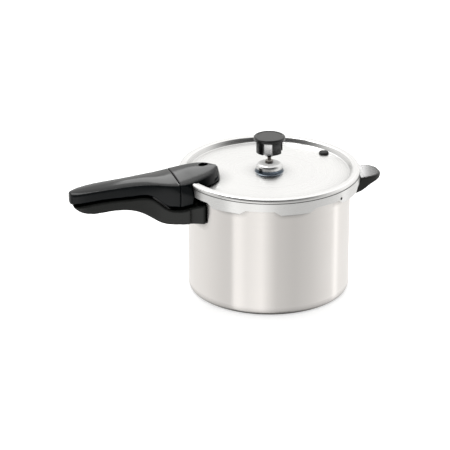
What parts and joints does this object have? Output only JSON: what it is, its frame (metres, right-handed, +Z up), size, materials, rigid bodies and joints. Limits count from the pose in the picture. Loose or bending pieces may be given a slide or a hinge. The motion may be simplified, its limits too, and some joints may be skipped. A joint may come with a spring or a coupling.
{
  "type": "long-handled stovetop pressure cooker",
  "caption": "Lidded pressure cooker with paired long handles, a short helper handle, a lid that turns under lugs and a weighted pressure regulator.",
  "frame": {"origin": "centre of the pot's base, on the surface it stands on", "axes": "+Z up along the pot's axis; +X towards the short helper handle, so the long handles point along -X"},
  "size_m": [0.4285, 0.2424, 0.213],
  "materials": {
    "pot": "satin drawn aluminium",
    "rack": "plain stamped aluminium",
    "cover": "bright polished aluminium",
    "seal": "smooth black rubber",
    "handle": "gloss black phenolic plastic",
    "steel": "plain plated steel",
    "fitting_metal": "turned metal",
    "weight": "bright turned metal",
    "regulator_black": "gloss black plastic",
    "black_rubber": "matt black rubber",
    "pin_cap": "black plastic"
  },
  "bodies": {
    "pot": {"pot_body": "pot", "body_bracket": "steel", "body_bracket_rivets": "steel", "body_handle": "handle", "body_handle_screw": "steel", "helper_bracket": "steel", "helper_bracket_rivets": "steel", "helper_handle": "handle", "helper_handle_screw": "steel"},
    "rack": {"cooking_rack": "rack"},
    "seal": {"sealing_ring": "seal"},
    "cover": {"cover_shell": "cover", "cover_bracket": "steel", "cover_bracket_rivets": "steel", "cover_handle_grip": "handle", "cover_handle_front": "handle", "cover_handle_screws": "steel", "vent_pipe": "fitting_metal", "vent_pipe_nut": "fitting_metal", "overpressure_plug": "black_rubber", "lock_sleeve": "fitting_metal"},
    "regulator": {"regulator_weight": "weight", "regulator_cap": "regulator_black"},
    "cover_lock": {"lock_pin": "fitting_metal", "lock_pin_cap": "pin_cap", "lock_pin_gasket": "black_rubber"}
  },
  "joints": [
    {"name": "cover_lift", "type": "slide", "parent": "pot", "child": "seal", "axis": [0, 0, 1], "range_m": [0, 0.15]},
    {"name": "cover_turn", "type": "hinge", "parent": "seal", "child": "cover", "pos_m": [0, 0, 0.16], "axis": [0, 0, 1], "range_deg": [0, 22.5]},
    {"name": "regulator_lift", "type": "slide", "parent": "cover", "child": "regulator", "axis": [0, 0, 1], "range_m": [0, 0.03]},
    {"name": "lock_pin_rise", "type": "slide", "parent": "cover", "child": "cover_lock", "axis": [0, 0, 1], "range_m": [0, 0.004]},
    {"name": "rack_lift", "type": "slide", "parent": "pot", "child": "rack", "axis": [0, 0, 1], "range_m": [0, 0.12]}
  ]
}
